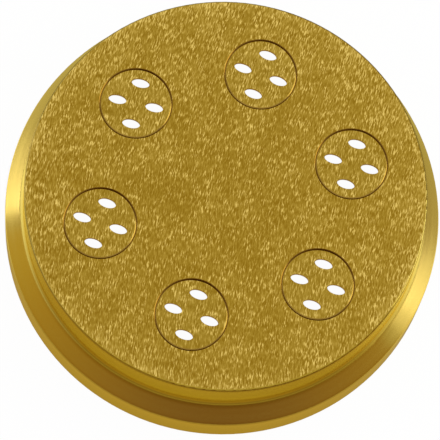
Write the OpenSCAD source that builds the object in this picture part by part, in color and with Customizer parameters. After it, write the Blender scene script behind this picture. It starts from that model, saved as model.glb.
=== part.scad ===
// Pasta extrusion die: a turned brass body that carries slotted inserts in its front plate.
// Sizes are millimetres. The origin is the centre of the back face, and +Z leaves through the front face.

/* [Body] */
// Diameter of the flange that the clamping ring holds down
flange_d = 78; // [77:0.1:84]
// Height of the flange's outer wall, from the back face to the shoulder
flange_h = 8; // [6:0.1:9]
// Diameter of the boss that stands through the clamping ring
boss_d = 71.3; // [70:0.1:74]
// Height of the die, from the back face to the front face
die_h = 21; // [20:0.1:24]
// Slope of the clamping shoulder, in degrees from the level
shoulder_slope = 45; // [35:1:55]
// Fillet radius where the boss meets the shoulder
foot_fillet = 2.5; // [0.5:0.1:4]
// Rounding of the boss's front edge
front_round = 0.3; // [0.2:0.05:1]
// Rounding of the flange's edge below the shoulder
flange_round = 0.5; // [0.2:0.05:1]
// Chamfer round the back face, at the flange
back_chamfer = 0.3; // [0.2:0.05:1]

/* [Inlet recess] */
// Thickness of the front plate between the recess and the front face
plate_t = 6; // [5:0.1:8]
// Draft of the recess's wall, in degrees
recess_draft = 10.5; // [2:0.5:14]
// Corner radius between the recess's floor and its wall
recess_fillet = 0.8; // [0.4:0.1:1.2]
// Flat land between the inserts' seats and that corner
recess_land = 0.2; // [0.1:0.05:1]
// Chamfer round the recess's mouth
mouth_chamfer = 0.4; // [0.2:0.05:0.8]

/* [Inserts] */
// Number of inserts
insert_count = 6; // [3:1:8]
// Diameter of the circle on which the inserts lie
insert_pcd = 45.8; // [44:0.1:48]
// Angle of the first insert from +X, in degrees
first_angle = 30; // [0:1:60]
// Diameter of an insert's neck, which shows at the front
neck_d = 12.7; // [12.3:0.1:13.6]
// Length of the neck, from the front face to the seat's step
neck_len = 2; // [1.5:0.1:3]
// Width of the step that the insert's collar bears on
collar_step = 1.35; // [1.1:0.05:1.6]
// Radial clearance of an insert in its seat
insert_fit = 0.02; // [0.01:0.01:0.05]
// Edge break on each side of the seam round an insert
seam_break = 0.2; // [0.05:0.01:0.25]
// Lead chamfer on the collar's front edge
collar_chamfer = 0.25; // [0.1:0.05:0.4]
// Small turns of the inserts from the common slot direction, in degrees
insert_turns = [0, -4.5, 3, -2.5, -3.5, -0.5]; // [-6:0.5:6]

/* [Slots] */
// Length of a slot
slot_long = 3.2; // [2.8:0.05:3.6]
// Width of a slot
slot_short = 1.7; // [1.2:0.05:2.2]
// Distance from the insert's centre to the slots that lie end to end
slot_along = 3.34; // [2.8:0.02:3.6]
// Distance from the insert's centre to the slots that lie side by side
slot_across = 3.84; // [3:0.02:4.1]
// Thickness of the lip that the slots are cut in
lip_t = 0.7; // [0.5:0.05:1.2]
// Margin of the feed chamber round the slots
chamber_margin = 0.1; // [0.05:0.05:0.3]
// Half angle of the feed chamber's cone, in degrees
chamber_slope = 17; // [5:0.5:19]

/* [Hidden] */
$fn = 128;
// Overshoot of a cut past the surface that it opens
past = 0.5;
// Share by which a corner's circle reaches past the two edges that it rounds into
arc_overlap = 1.003;
// Colours of the turned body and of the inserts
body_brass = [0.68, 0.55, 0.21];
insert_brass = [0.74, 0.61, 0.27];

// Directions in a half section, where X is the radius and Y the height
inward = [-1, 0];
upward = [0, 1];
downward = [0, -1];
shoulder_out = [cos(shoulder_slope), -sin(shoulder_slope)];
recess_out = [sin(recess_draft), -cos(recess_draft)];

// Radii and heights of the body
flange_r = flange_d / 2;
boss_r = boss_d / 2;
shoulder_z = flange_h + (flange_r - boss_r) * tan(shoulder_slope);
recess_z = die_h - plate_t;

// Radii and heights of an insert and its seat
neck_r = neck_d / 2;
collar_r = neck_r + collar_step;
step_z = die_h - neck_len;
lip_z = die_h - lip_t;
slot_reach = max(slot_along + slot_long / 2, slot_across + slot_short / 2);
chamber_front_r = slot_reach + chamber_margin;
chamber_back_r = chamber_front_r + (lip_z - recess_z) * tan(chamber_slope);

// The recess clears the inserts' seats, and its wall opens towards the back
recess_floor_r = insert_pcd / 2 + collar_r + recess_land + recess_fillet;
recess_mouth_r = recess_floor_r + recess_z * tan(recess_draft);

// Half of the angle between two edges that leave a corner
function half_angle(edge_a, edge_b) = acos(edge_a * edge_b) / 2;

// Distance from a corner to the points where an arc of that radius touches its edges
function arc_touch(edge_a, edge_b, radius) = radius / tan(half_angle(edge_a, edge_b));

// Centre of the arc that touches both edges of a corner
function arc_centre(corner, edge_a, edge_b, radius) =
  corner + (edge_a + edge_b) / norm(edge_a + edge_b) * radius / sin(half_angle(edge_a, edge_b));

// Points of a section that fill an inner corner out to its arc's centre
function filled_corner(corner, edge_a, edge_b, radius) = [
  corner + edge_a * arc_touch(edge_a, edge_b, radius),
  arc_centre(corner, edge_a, edge_b, radius),
  corner + edge_b * arc_touch(edge_a, edge_b, radius)
];

// Circle that a corner's arc belongs to: cut from a filled corner, it leaves the fillet
module arc_circle(corner, edge_a, edge_b, radius) {
  translate(arc_centre(corner, edge_a, edge_b, radius))
    circle(r = radius * arc_overlap);
}

// Tip of an outer corner outside its arc
module corner_tip(corner, edge_a, edge_b, radius) {
  difference() {
    polygon(concat([corner - (edge_a + edge_b) * radius], filled_corner(corner, edge_a, edge_b, radius)));
    arc_circle(corner, edge_a, edge_b, radius);
  }
}

// Half section of the body, before the seats are bored
module body_section() {
  foot = [boss_r, shoulder_z];
  recess_corner = [recess_floor_r, recess_z];
  difference() {
    polygon(concat(
      [[0, recess_z]],
      filled_corner(recess_corner, inward, recess_out, recess_fillet),
      [
        [recess_mouth_r, 0],
        [flange_r - back_chamfer, 0],
        [flange_r, back_chamfer],
        [flange_r, flange_h]
      ],
      filled_corner(foot, shoulder_out, upward, foot_fillet),
      [[boss_r, die_h], [0, die_h]]
    ));
    arc_circle(recess_corner, inward, recess_out, recess_fillet);
    arc_circle(foot, shoulder_out, upward, foot_fillet);
    corner_tip([boss_r, die_h], inward, downward, front_round);
    corner_tip([flange_r, flange_h], downward, -shoulder_out, flange_round);
    polygon([
      [recess_mouth_r - past, -past],
      [recess_mouth_r + mouth_chamfer + past, -past],
      [recess_mouth_r + mouth_chamfer, 0],
      [recess_mouth_r, 0] - recess_out * mouth_chamfer
    ]);
  }
}

// Places a shape at an insert's centre, with the slots' common direction along X
module at_insert(k) {
  angle = first_angle + (k - 1) * 360 / insert_count;
  translate([cos(angle) * insert_pcd / 2, sin(angle) * insert_pcd / 2, 0])
    children();
}

// Stepped bore that an insert is pushed into from behind
module seat_bore() {
  bore_r = neck_r + insert_fit;
  seat_r = collar_r + insert_fit;
  rotate_extrude()
    polygon([
      [0, recess_z - past],
      [seat_r, recess_z - past],
      [seat_r, step_z],
      [bore_r, step_z],
      [bore_r, die_h - seam_break],
      [bore_r + seam_break + past, die_h + past],
      [0, die_h + past]
    ]);
}

// Half section of an insert: the neck, the collar and the conical feed chamber behind the lip
module insert_section() {
  polygon([
    [0, lip_z],
    [chamber_front_r, lip_z],
    [chamber_back_r, recess_z],
    [collar_r, recess_z],
    [collar_r, step_z - collar_chamfer],
    [collar_r - collar_chamfer, step_z],
    [neck_r, step_z],
    [neck_r, die_h - seam_break],
    [neck_r - seam_break, die_h],
    [0, die_h]
  ]);
}

// Elliptical slot through the lip
module slot() {
  translate([0, 0, lip_z - past])
    linear_extrude(lip_t + 2 * past)
      scale([slot_long, slot_short])
        circle(d = 1);
}

// Four parallel slots in a diamond: two end to end and two side by side
module slot_group() {
  for (side = [-1, 1]) {
    translate([side * slot_along, 0, 0])
      slot();
    translate([0, side * slot_across, 0])
      slot();
  }
}

module die_body() {
  color(body_brass)
    difference() {
      rotate_extrude()
        body_section();
      for (k = [1:insert_count])
        at_insert(k)
          seat_bore();
    }
}

module insert(k) {
  turn = insert_turns[(k - 1) % len(insert_turns)];
  color(insert_brass)
    at_insert(k)
      difference() {
        rotate_extrude()
          insert_section();
        rotate(turn)
          slot_group();
      }
}

die_body();
for (k = [1:insert_count])
  insert(k);
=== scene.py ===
import math

import bpy
from mathutils import Matrix, Vector


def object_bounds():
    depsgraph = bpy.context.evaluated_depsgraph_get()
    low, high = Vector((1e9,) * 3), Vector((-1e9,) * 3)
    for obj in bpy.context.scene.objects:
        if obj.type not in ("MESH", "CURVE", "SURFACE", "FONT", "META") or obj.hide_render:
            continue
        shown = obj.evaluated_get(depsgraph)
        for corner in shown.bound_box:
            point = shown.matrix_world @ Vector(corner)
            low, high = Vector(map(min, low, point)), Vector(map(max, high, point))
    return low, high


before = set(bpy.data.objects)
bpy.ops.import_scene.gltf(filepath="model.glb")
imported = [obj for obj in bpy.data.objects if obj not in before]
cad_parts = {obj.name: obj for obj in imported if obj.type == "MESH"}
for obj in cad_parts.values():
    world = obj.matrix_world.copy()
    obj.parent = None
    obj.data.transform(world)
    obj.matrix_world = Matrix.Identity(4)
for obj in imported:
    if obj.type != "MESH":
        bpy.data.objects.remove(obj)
cad_low, cad_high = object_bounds()

# Lengths are metres, in the frame of the solids
MM = 0.001
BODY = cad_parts["die_body"]
INSERTS = [node for name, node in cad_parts.items() if name.startswith("insert_")]
DIE_TOP = cad_high.z
FACE_CENTRE = Vector((0, 0, DIE_TOP))

# Camera: its turns about Z, X and Z in degrees, the face's centre seen from it, and its focal length
VIEW_TURN = 4.69
VIEW_TILT = 15.567
VIEW_ROLL = 11.219
FACE_FROM_CAMERA = Vector((1.1255, 4.7197, -635.87)) * MM
FOCAL_PX = 3608.8
FRAME_PX = 440
SENSOR_MM = 36

# Bounds between the die's surfaces: the front face, the seams round the inserts, the outside and the back
FACE_BAND = 0.01 * MM
FACE_SLOPE = 0.99
SEAM_BAND = 0.3 * MM
SEAM_SLOPE = 0.1
OUTSIDE_RADIUS = 35 * MM
BACK_SLOPE = -0.9

# Grain of the front face: degrees from +X at the centre, and how much the strokes bow, per metre
GRAIN_ANGLE = 95
GRAIN_BOW = -1.5

# Two layers of strokes: length and width, turn from the grain in degrees, and start in the noise
STROKE_LAYERS = [
    ((1.08 * MM, 0.235 * MM), 4, 0),
    ((1.22 * MM, 0.212 * MM), -5, 0.37),
]
STROKE_DETAIL = 2
STROKE_LEVEL = 0.56
STROKE_CONTRAST = (0.65, 1.7)
STROKE_DEPTH = 0.03 * MM
STROKE_STRENGTH = 0.35

# Spots where strokes gather and patches of tone: length and width, start in the noise, and its detail
GATHER_SIZE = (2.2 * MM, 1.5 * MM)
GATHER_START = 0.19
PATCH_SIZE = (7 * MM, 5 * MM)
PATCH_START = 0.71
BROAD_DETAIL = 1

# Slow changes of the face's tone: where each begins and ends, and the level that it adds there
PATCH_RISE = (-0.03, 0.03)
# Painted light: the face is paler towards the back, as lit from behind
PAINTED_BACKLIGHT_REACH = (-36 * MM, 36 * MM)
PAINTED_BACKLIGHT_RISE = (-0.016, 0.016)
OUTER_REACH = (10 * MM, 36 * MM)
OUTER_RISE = (-0.022, 0.015)
WORN_REACH = (33.5 * MM, 35 * MM)
WORN_RISE = (0, 0.06)
MARK_REACH = (0.3 * MM, 1.0 * MM)
MARK_RISE = (STROKE_LEVEL - 0.06, STROKE_LEVEL)

# Roughness of the face, from its dark to its bright tones
FACE_TONES = (0.4, 0.75)
FACE_ROUGHNESS = (0.46, 0.34)

# Turning lines: width, weight of the height against the radius, and how fine, deep and uneven they are
LINE_WIDTH = 0.25 * MM
LINE_SLANT = 1.37
LINE_DETAIL = 3
LINE_DEPTH = 0.01 * MM
LINE_STRENGTH = 0.1
LINE_ROUGHNESS = 0.03

# Front of the die: how far it lies right of -Y, where depth begins in radii, and where the rim's painted
# reflections and painted shade fade
FRONT_SKEW = -0.3
FRONT_LIMIT = -1.05
RIM_RADIUS = 37 * MM
PAINTED_RIM_FADE = (0.146, 0.39)

# Y of the normal between which a seam's edge stops facing ahead
EDGE_AHEAD = (-0.7, -0.4)

# Tints of the metal at a grazing view
FACE_TINT = (1, 0.85, 0.45)
RIM_TINT = (1, 0.94, 0.62)
EDGE_TINT = (1, 0.9, 0.5)
BACK_TINT = (1, 0.95, 0.8)

# Floor: its size, its gap to the die, how white it is, and the radii between which the painted reflection
# that metal sees in it changes
FLOOR_HALF = 20
FLOOR_GAP = 0.02 * MM
FLOOR_WHITE = (0.9, 0.9, 0.9)
FLOOR_GLOW = 0.97
FLOOR_NEAR = 38 * MM
FLOOR_FAR = 258 * MM
SIDE_POWER = 6

# Curved card in front of the die, a glowing painted reflection: the directions between which it stands, in
# degrees, and its size
CARD_FROM = 192
CARD_TO = 345
CARD_PARTS = 48
CARD_RADIUS = 100 * MM
CARD_HEIGHT = 45 * MM

# Colours of the lamps at the sides and of the lamp that lights the seams
SIDE_LIGHT = (1, 0.88, 0.95)
KEY_LIGHT = (0.93, 1, 1)

# Middle ranges of a noise, and the sockets of a mix node that hold colours
NOISE_MIDDLE = (0.3, 0.7)
NOISE_CORE = (0.35, 0.65)
MIX_FIRST = 6
MIX_SECOND = 7
MIX_RESULT = 2


def new_node(tree, kind, inputs=(), **settings):
    """Adds a shader node with its settings and the values of its free inputs."""
    node = tree.nodes.new(kind)
    for name, value in settings.items():
        setattr(node, name, value)
    for name, value in dict(inputs).items():
        node.inputs[name].default_value = value
    return node


def new_material(name):
    """Makes a material with an empty tree, and returns both."""
    material = bpy.data.materials.new(name)
    material.use_nodes = True
    material.node_tree.nodes.clear()
    return material, material.node_tree


def show(tree, surface):
    """Makes a shader the surface of its material."""
    output = new_node(tree, "ShaderNodeOutputMaterial")
    tree.links.new(surface, output.inputs["Surface"])


def object_place(tree):
    """Place of a point in the frame of the solids."""
    return new_node(tree, "ShaderNodeTexCoord").outputs["Object"]


def new_metal(name, tint):
    """Makes a metal with a tint at a grazing view, and returns it with its tree, shader and place."""
    material, tree = new_material(name)
    shader = new_node(tree, "ShaderNodeBsdfPrincipled", {"Metallic": 1, "Specular Tint": (*tint, 1)})
    show(tree, shader.outputs["BSDF"])
    return material, tree, shader, object_place(tree)


def fill(tree, sockets, values):
    """Links each value to its socket, or sets it there if it is a number."""
    for socket, value in zip(sockets, values):
        if isinstance(value, bpy.types.NodeSocket):
            tree.links.new(value, socket)
        else:
            socket.default_value = value


def combined(tree, operation, *values):
    """Result of a math node on its values, any of which may be a number."""
    node = new_node(tree, "ShaderNodeMath", operation=operation)
    fill(tree, node.inputs, values)
    return node.outputs["Value"]


def parts(tree, vector):
    """X, Y and Z of a vector."""
    node = new_node(tree, "ShaderNodeSeparateXYZ")
    tree.links.new(vector, node.inputs["Vector"])
    return node.outputs["X"], node.outputs["Y"], node.outputs["Z"]


def joined(tree, x, y, z):
    """Vector of three values, any of which may be a number."""
    node = new_node(tree, "ShaderNodeCombineXYZ")
    fill(tree, node.inputs, (x, y, z))
    return node.outputs["Vector"]


def remapped(tree, value, source, target):
    """Value taken from one range to another, clamped."""
    node = new_node(tree, "ShaderNodeMapRange", {
        "From Min": source[0], "From Max": source[1], "To Min": target[0], "To Max": target[1]})
    tree.links.new(value, node.inputs["Value"])
    return node.outputs["Result"]


def ramp(tree, value, stops):
    """Colour ramp with one linear colour at each position."""
    node = new_node(tree, "ShaderNodeValToRGB")
    elements = node.color_ramp.elements
    while len(elements) < len(stops):
        elements.new(0.5)
    for element, (position, colour) in zip(elements, stops):
        element.position = position
        element.color = (*colour, 1)
    tree.links.new(value, node.inputs["Fac"])
    return node.outputs["Color"]


def blended(tree, share, first, second):
    """Colour that goes from the first to the second as a share goes from 0 to 1."""
    node = new_node(tree, "ShaderNodeMix", data_type="RGBA")
    tree.links.new(share, node.inputs["Factor"])
    tree.links.new(first, node.inputs[MIX_FIRST])
    tree.links.new(second, node.inputs[MIX_SECOND])
    return node.outputs[MIX_RESULT]


def bumped(tree, shader, height, depth, strength):
    """Raises the surface by a height map, and returns the bump."""
    bump = new_node(tree, "ShaderNodeBump", {"Distance": depth, "Strength": strength})
    tree.links.new(height, bump.inputs["Height"])
    tree.links.new(bump.outputs["Normal"], shader.inputs["Normal"])
    return bump


def polar(tree, place):
    """Distance of a point from the die's axis, its height, and 0 ahead or behind to 1 at the sides."""
    x, y, z = parts(tree, place)
    across = combined(tree, "POWER", x, 2)
    both = combined(tree, "ADD", across, combined(tree, "POWER", y, 2))
    return combined(tree, "SQRT", both), z, combined(tree, "DIVIDE", across, both)


def front_depth(tree, place, radius):
    """Share from 0, in front and slightly right, to 1 behind, of a place at a distance from the axis."""
    x, y, _ = parts(tree, place)
    depth = combined(tree, "ADD", y, combined(tree, "MULTIPLY", x, FRONT_SKEW))
    return remapped(tree, depth, (FRONT_LIMIT * radius, radius), (0, 1))


def by_height(tree, height, stops):
    """Colour that follows the height, with a stop at each height in millimetres."""
    share = combined(tree, "DIVIDE", height, DIE_TOP)
    return ramp(tree, share, [(z * MM / DIE_TOP, colour) for z, colour in stops])


def softened(tree, bump, side_lean, front_lean):
    """Leans an edge's shading towards +Z where it faces sideways or ahead, as if it were rounded there."""
    surface = new_node(tree, "ShaderNodeNewGeometry")
    x, y, z = parts(tree, surface.outputs["Normal"])
    sideways = combined(tree, "MULTIPLY", combined(tree, "POWER", x, 2), side_lean)
    ahead = remapped(tree, y, EDGE_AHEAD, (front_lean, 0))
    lean = combined(tree, "ADD", sideways, ahead)
    unit = new_node(tree, "ShaderNodeVectorMath", operation="NORMALIZE")
    tree.links.new(joined(tree, x, y, combined(tree, "ADD", z, lean)), unit.inputs[0])
    tree.links.new(unit.outputs["Vector"], bump.inputs["Normal"])


def trued(tree, bump, place, radius):
    """Turns an outside's shading straight away from the axis at its own slope, so that no facet shows."""
    surface = new_node(tree, "ShaderNodeNewGeometry")
    _, _, slope = parts(tree, surface.outputs["Normal"])
    level = combined(tree, "SQRT", combined(tree, "SUBTRACT", 1, combined(tree, "POWER", slope, 2)))
    reach = combined(tree, "DIVIDE", level, radius)
    x, y, _ = parts(tree, place)
    away = joined(tree, combined(tree, "MULTIPLY", x, reach), combined(tree, "MULTIPLY", y, reach), slope)
    tree.links.new(away, bump.inputs["Normal"])


def bowed(tree, place, bow):
    """Coordinates bent so that lines along Y become shallow arcs."""
    x, y, _ = parts(tree, place)
    shift = combined(tree, "MULTIPLY", combined(tree, "POWER", y, 2), bow)
    return joined(tree, combined(tree, "ADD", x, shift), y, 0)


def stretched_noise(tree, place, size, angle, detail, start):
    """Noise whose features measure size along and across a direction in the XY plane."""
    mapping = new_node(tree, "ShaderNodeMapping", {
        "Location": (start, start, 0), "Rotation": (0, 0, math.radians(angle)), "Scale": (*size, 1),
    }, vector_type="TEXTURE")
    tree.links.new(place, mapping.inputs["Vector"])
    noise = new_node(tree, "ShaderNodeTexNoise", {"Scale": 1, "Detail": detail}, noise_dimensions="2D")
    tree.links.new(mapping.outputs["Vector"], noise.inputs["Vector"])
    return noise.outputs["Fac"]


def face_level(tree, place, start):
    """Slow changes of a face's tone: patches, paler behind as painted light from behind, paler outside, a
    worn edge and a central mark.
    """
    _, y, _ = parts(tree, place)
    radius, _, _ = polar(tree, place)
    patches = stretched_noise(tree, place, PATCH_SIZE, GRAIN_ANGLE, BROAD_DETAIL, start + PATCH_START)
    level = remapped(tree, patches, NOISE_MIDDLE, PATCH_RISE)
    for value, reach, rise in (
        (y, PAINTED_BACKLIGHT_REACH, PAINTED_BACKLIGHT_RISE),
        (radius, OUTER_REACH, OUTER_RISE),
        (radius, WORN_REACH, WORN_RISE),
        (radius, MARK_REACH, MARK_RISE),
    ):
        level = combined(tree, "ADD", level, remapped(tree, value, reach, rise))
    return level


def brushed_brass(name, stops, start):
    """Front faces: short bright strokes in one direction, stronger in some spots than in others."""
    material, tree, shader, place = new_metal(name, FACE_TINT)
    grain = bowed(tree, place, GRAIN_BOW)
    layers = [stretched_noise(tree, grain, size, GRAIN_ANGLE + turn, STROKE_DETAIL, start + shift)
              for size, turn, shift in STROKE_LAYERS]
    strokes = combined(tree, "MAXIMUM", *layers)
    gathers = stretched_noise(tree, place, GATHER_SIZE, GRAIN_ANGLE, BROAD_DETAIL, start + GATHER_START)
    contrast = remapped(tree, gathers, NOISE_CORE, STROKE_CONTRAST)
    flecks = combined(tree, "MULTIPLY", combined(tree, "SUBTRACT", strokes, STROKE_LEVEL), contrast)
    level = combined(tree, "ADD", flecks, face_level(tree, place, start))
    tree.links.new(ramp(tree, level, stops), shader.inputs["Base Color"])
    tree.links.new(remapped(tree, level, FACE_TONES, FACE_ROUGHNESS), shader.inputs["Roughness"])
    bumped(tree, shader, strokes, STROKE_DEPTH, STROKE_STRENGTH)
    return material


def turned_brass(name, stops, roughness, tint, leans=None, plain=None):
    """Turned surfaces: lines round the axis and a tone by height. A rim's front tones, which are painted
    reflections and painted shade, fade to plain ones behind.
    """
    material, tree, shader, place = new_metal(name, tint)
    radius, height, _ = polar(tree, place)
    tone = by_height(tree, height, stops)
    section = combined(tree, "ADD", radius, combined(tree, "MULTIPLY", height, LINE_SLANT))
    noise = new_node(tree, "ShaderNodeTexNoise", {
        "Scale": 1 / LINE_WIDTH, "Detail": LINE_DETAIL}, noise_dimensions="1D")
    tree.links.new(section, noise.inputs["W"])
    lines = noise.outputs["Fac"]
    spread = (roughness - LINE_ROUGHNESS, roughness + LINE_ROUGHNESS)
    tree.links.new(remapped(tree, lines, NOISE_MIDDLE, spread), shader.inputs["Roughness"])
    bump = bumped(tree, shader, lines, LINE_DEPTH, LINE_STRENGTH)
    if plain:
        # Painted reflections and painted shade: the rim's front tones fade to the plain tones behind
        fade = remapped(tree, front_depth(tree, place, RIM_RADIUS), PAINTED_RIM_FADE, (0, 1))
        tone = blended(tree, fade, tone, by_height(tree, height, plain))
        trued(tree, bump, place, radius)
    if leans:
        softened(tree, bump, *leans)
    tree.links.new(tone, shader.inputs["Base Color"])
    return material


def is_face(polygon):
    """Whether a polygon belongs to the front face."""
    return polygon.center.z > DIE_TOP - FACE_BAND and polygon.normal.z > FACE_SLOPE


def body_surface(polygon):
    """Name of the body's surface that a polygon belongs to."""
    if is_face(polygon):
        return "face"
    if polygon.center.xy.length > OUTSIDE_RADIUS and polygon.normal.z > BACK_SLOPE:
        return "outside"
    if polygon.center.z > DIE_TOP - SEAM_BAND:
        return "seam"
    return "back"


def insert_surface(polygon):
    """Name of an insert's surface that a polygon belongs to."""
    if is_face(polygon):
        return "face"
    if polygon.center.z > DIE_TOP - SEAM_BAND and SEAM_SLOPE < polygon.normal.z < FACE_SLOPE:
        return "seam"
    return "sides"


def dress(node, surface_of, materials):
    """Gives each of a node's surfaces its own material."""
    mesh = node.data
    mesh.materials.clear()
    for material in materials.values():
        mesh.materials.append(material)
    slots = list(materials)
    for polygon in mesh.polygons:
        polygon.material_index = slots.index(surface_of(polygon))


def floor_painted_reflection(tree, ahead_stops, aside_stops):
    """Painted reflection of the floor in the metal, by radius in millimetres. It is darker and warm near the
    die as painted shadow, and brighter than white to the sides as painted light.
    """
    radius, _, sideways = polar(tree, object_place(tree))
    share = remapped(tree, radius, (FLOOR_NEAR, FLOOR_FAR), (0, 1))
    tones = []
    for stops in (ahead_stops, aside_stops):
        placed = [((r * MM - FLOOR_NEAR) / (FLOOR_FAR - FLOOR_NEAR), colour) for r, colour in stops]
        tones.append(ramp(tree, share, placed))
    return blended(tree, combined(tree, "POWER", sideways, SIDE_POWER), *tones)


def floor_white(ahead_stops, aside_stops):
    """White with a trace of the shadow, glowing with a painted reflection where metal mirrors it, and clear
    from below.
    """
    material, tree = new_material("floor_white")
    rays = new_node(tree, "ShaderNodeLightPath")
    direct = combined(tree, "MAXIMUM", rays.outputs["Is Camera Ray"], rays.outputs["Is Transmission Ray"])
    diffuse = new_node(tree, "ShaderNodeBsdfDiffuse", {"Color": (*FLOOR_WHITE, 1)})
    glow = new_node(tree, "ShaderNodeEmission", {"Color": (1, 1, 1, 1), "Strength": 1})
    painted_reflection = new_node(tree, "ShaderNodeEmission", {"Strength": 1})
    tree.links.new(floor_painted_reflection(tree, ahead_stops, aside_stops), painted_reflection.inputs["Color"])
    side = new_node(tree, "ShaderNodeNewGeometry")
    clear = new_node(tree, "ShaderNodeBsdfTransparent")
    surface = diffuse.outputs["BSDF"]
    for share, other in (
        (combined(tree, "MULTIPLY", direct, FLOOR_GLOW), glow.outputs["Emission"]),
        (rays.outputs["Is Glossy Ray"], painted_reflection.outputs["Emission"]),
        (side.outputs["Backfacing"], clear.outputs["BSDF"]),
    ):
        mix = new_node(tree, "ShaderNodeMixShader")
        fill(tree, mix.inputs, (share, surface, other))
        surface = mix.outputs["Shader"]
    show(tree, surface)
    return material


def card_painted_reflection(stops):
    """Warm glow of the card, by depth from the front: a painted reflection of dim, warm surroundings."""
    material, tree = new_material("card_painted_reflection")
    glow = new_node(tree, "ShaderNodeEmission", {"Strength": 1})
    depth = front_depth(tree, object_place(tree), CARD_RADIUS)
    tree.links.new(ramp(tree, depth, stops), glow.inputs["Color"])
    show(tree, glow.outputs["Emission"])
    return material


def new_object(name, corners, faces, material):
    """Adds a mesh object with one material."""
    mesh = bpy.data.meshes.new(name)
    mesh.from_pydata(corners, [], faces)
    mesh.materials.append(material)
    piece = bpy.data.objects.new(name, mesh)
    bpy.context.collection.objects.link(piece)
    return piece


def make_floor(material):
    """Large square just under the die."""
    level = cad_low.z - FLOOR_GAP
    corners = [(x * FLOOR_HALF, y * FLOOR_HALF, level) for x, y in ((-1, -1), (1, -1), (1, 1), (-1, 1))]
    floor = new_object("floor", corners, [(0, 1, 2, 3)], material)


def make_card(material):
    """Low curved card in front, which only reflections show: it glows as a painted reflection."""
    step = math.radians(CARD_TO - CARD_FROM) / CARD_PARTS
    turns = [math.radians(CARD_FROM) + step * k for k in range(CARD_PARTS + 1)]
    corners = [(CARD_RADIUS * math.cos(turn), CARD_RADIUS * math.sin(turn), z)
               for turn in turns for z in (0, CARD_HEIGHT)]
    faces = [(2 * k, 2 * k + 1, 2 * k + 3, 2 * k + 2) for k in range(CARD_PARTS)]
    card = new_object("card", corners, faces, material)
    card.visible_camera = False
    card.visible_diffuse = False
    card.visible_shadow = False
    card.visible_transmission = False


def make_world(stops):
    """Soft studio, dim and warm at the horizon and bright above, with a stop at each direction's height."""
    world = bpy.data.worlds.new("studio")
    world.use_nodes = True
    tree = world.node_tree
    place = new_node(tree, "ShaderNodeTexCoord")
    _, _, height = parts(tree, place.outputs["Generated"])
    share = remapped(tree, height, (-1, 1), (0, 1))
    colour = ramp(tree, share, [((z + 1) / 2, tone) for z, tone in stops])
    tree.links.new(colour, tree.nodes["Background"].inputs["Color"])
    bpy.context.scene.world = world


def softbox(name, azimuth, elevation, distance, size, radiance, colour=(1, 1, 1)):
    """Rectangular lamp that faces the die from a direction, in degrees."""
    turn = math.radians(azimuth)
    rise = math.radians(elevation)
    away = Vector((math.cos(turn) * math.cos(rise), math.sin(turn) * math.cos(rise), math.sin(rise)))
    width, height = size
    data = bpy.data.lights.new(name, "AREA")
    data.shape = "RECTANGLE"
    data.size = width
    data.size_y = height
    data.energy = radiance * math.pi * width * height
    data.color = colour
    lamp = bpy.data.objects.new(name, data)
    lamp.location = FACE_CENTRE + away * distance
    lamp.rotation_mode = "QUATERNION"
    lamp.rotation_quaternion = away.to_track_quat("Z", "Y")
    lamp.visible_camera = False
    bpy.context.collection.objects.link(lamp)


def make_camera():
    """Camera at the photograph's viewing angle."""
    turn = (Matrix.Rotation(math.radians(VIEW_TURN), 3, "Z")
            @ Matrix.Rotation(math.radians(VIEW_TILT), 3, "X")
            @ Matrix.Rotation(math.radians(VIEW_ROLL), 3, "Z"))
    data = bpy.data.cameras.new("camera")
    data.sensor_width = SENSOR_MM
    data.lens = FOCAL_PX * SENSOR_MM / FRAME_PX
    camera = bpy.data.objects.new("camera", data)
    camera.matrix_world = Matrix.Translation(FACE_CENTRE - turn @ FACE_FROM_CAMERA) @ turn.to_4x4()
    bpy.context.collection.objects.link(camera)
    bpy.context.scene.camera = camera


# Stage: camera, floor, card, world and lamps
make_camera()
# Floor: white to the camera. Metal sees a painted reflection in it, with painted shadow near the die and
# painted light to the sides
make_floor(floor_white([
    (39, (0.49, 0.345, 0.10)),
    (43, (0.49, 0.36, 0.13)),
    (47, (0.50, 0.375, 0.17)),
    (53, (0.46, 0.345, 0.16)),
    (59, (0.46, 0.36, 0.19)),
    (68, (0.68, 0.64, 0.54)),
    (75, (0.67, 0.63, 0.52)),
    (81, (0.58, 0.47, 0.28)),
    (95, (0.40, 0.30, 0.15)),
    (160, (0.32, 0.21, 0.10)),
    (250, (0.27, 0.17, 0.08)),
], [
    (39, (0.48, 0.38, 0.20)),
    (42, (0.55, 0.46, 0.30)),
    (47, (1.26, 1.12, 0.92)),
    (95, (1.2, 1.1, 0.95)),
    (118, (0.48, 0.38, 0.22)),
    (250, (0.42, 0.34, 0.20)),
]))
# Card: a painted reflection of dim, warm surroundings in front, seen only in the metal
make_card(card_painted_reflection([
    (0.004, (0.236, 0.122, 0.055)),
    (0.026, (0.256, 0.138, 0.06)),
    (0.095, (0.32, 0.18, 0.065)),
    (0.20, (0.388, 0.234, 0.07)),
    (0.33, (0.458, 0.288, 0.075)),
    (0.47, (0.53, 0.36, 0.09)),
]))
make_world([
    (-0.15, (0.75, 0.75, 0.75)),
    (0.0, (0.47, 0.35, 0.15)),
    (0.25, (0.53, 0.44, 0.27)),
    (0.5, (0.80, 0.77, 0.70)),
    (0.7, (0.88, 0.87, 0.85)),
])
softbox("overhead", azimuth=90, elevation=72, distance=0.7, size=(0.7, 0.6), radiance=0.44)
softbox("left", azimuth=172, elevation=8, distance=0.35, size=(0.14, 0.14), radiance=2.0, colour=SIDE_LIGHT)
softbox("right", azimuth=9, elevation=8, distance=0.35, size=(0.11, 0.14), radiance=0.75, colour=SIDE_LIGHT)
softbox("right_wide", azimuth=9, elevation=8, distance=0.36, size=(0.19, 0.15), radiance=0.65,
        colour=SIDE_LIGHT)
softbox("key", azimuth=20, elevation=40, distance=0.6, size=(0.32, 0.26), radiance=2.8, colour=KEY_LIGHT)

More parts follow.
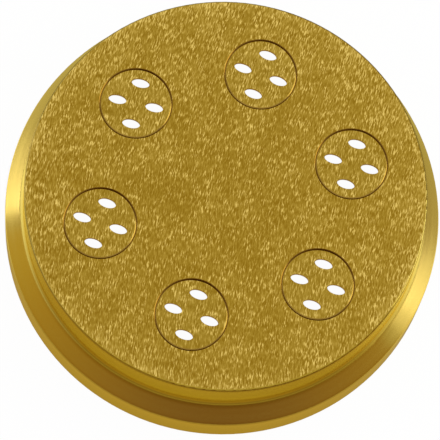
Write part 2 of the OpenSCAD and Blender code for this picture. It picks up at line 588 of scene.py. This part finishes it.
# Brass of each surface, with stops by tone level on the faces and by height in millimetres elsewhere
face_brass = brushed_brass("brushed_brass", [
    (0.42, (0.241, 0.137, 0.008)),
    (0.58, (0.305, 0.192, 0.020)),
    (0.68, (0.413, 0.276, 0.047)),
    (0.80, (0.635, 0.465, 0.123)),
], start=0)
insert_face = brushed_brass("insert_face", [
    (0.42, (0.247, 0.146, 0.010)),
    (0.58, (0.313, 0.202, 0.023)),
    (0.68, (0.421, 0.286, 0.052)),
    (0.80, (0.635, 0.465, 0.123)),
], start=0.53)
rim_brass_painted_light = turned_brass("polished_brass_painted_light", [
    # In front: painted reflections and painted shade by height. The flange is darker towards its foot and at
    # its top edge, there is a dark corner at the wall's foot, the wall is brightened and there is a dark band
    # under the front edge
    (2, (0.73, 0.62, 0.13)),
    (7.1, (0.84, 0.70, 0.15)),
    (7.8, (0.66, 0.52, 0.09)),
    (8.15, (0.66, 0.52, 0.09)),
    (8.5, (0.73, 0.62, 0.14)),
    (10.35, (0.73, 0.62, 0.14)),
    (10.7, (0.62, 0.48, 0.07)),
    (11.0, (0.47, 0.335, 0.036)),
    (11.4, (0.43, 0.30, 0.033)),
    (11.8, (0.60, 0.46, 0.07)),
    (12.1, (0.90, 0.74, 0.18)),
    (12.5, (1.0, 0.90, 0.28)),
    (14, (1.0, 0.86, 0.24)),
    (15, (0.94, 0.79, 0.21)),
    (18, (0.98, 0.83, 0.215)),
    (19.6, (0.94, 0.79, 0.19)),
    (20.1, (0.50, 0.365, 0.05)),
    (20.5, (0.48, 0.345, 0.04)),
    (20.75, (0.42, 0.285, 0.028)),
], roughness=0.2, tint=RIM_TINT, plain=[
    # Behind: plain brass, with painted shade on the top round that dims a highlight
    (20.6, (0.76, 0.65, 0.17)),
    (20.75, (0.40, 0.31, 0.07)),
])
# Seam edges: dark brass, darkest at the bottom of the seam. This is partly a dark joint and partly painted
# shade between the body and the inserts
body_edge = turned_brass("body_edge", [
    (20.8, (0.12, 0.045, 0.004)),
    (21, (0.28, 0.16, 0.022)),
], roughness=0.24, tint=EDGE_TINT, leans=(1.6, 0))
insert_edge = turned_brass("insert_edge", [
    (20.8, (0.22, 0.11, 0.012)),
    (21, (0.33, 0.215, 0.04)),
], roughness=0.24, tint=EDGE_TINT, leans=(1.6, 2.5))
back_brass = turned_brass("turned_brass", [
    (0, (0.62, 0.45, 0.10)),
    (15, (0.55, 0.39, 0.08)),
], roughness=0.32, tint=BACK_TINT)
insert_turned = turned_brass("insert_turned", [
    (15, (0.58, 0.41, 0.09)),
    (21, (0.5, 0.34, 0.06)),
], roughness=0.3, tint=BACK_TINT)
dress(BODY, body_surface, {"back": back_brass, "outside": rim_brass_painted_light, "seam": body_edge, "face": face_brass})
for insert in INSERTS:
    dress(insert, insert_surface, {"sides": insert_turned, "seam": insert_edge, "face": insert_face})

bpy.context.scene.view_settings.view_transform = "Standard"
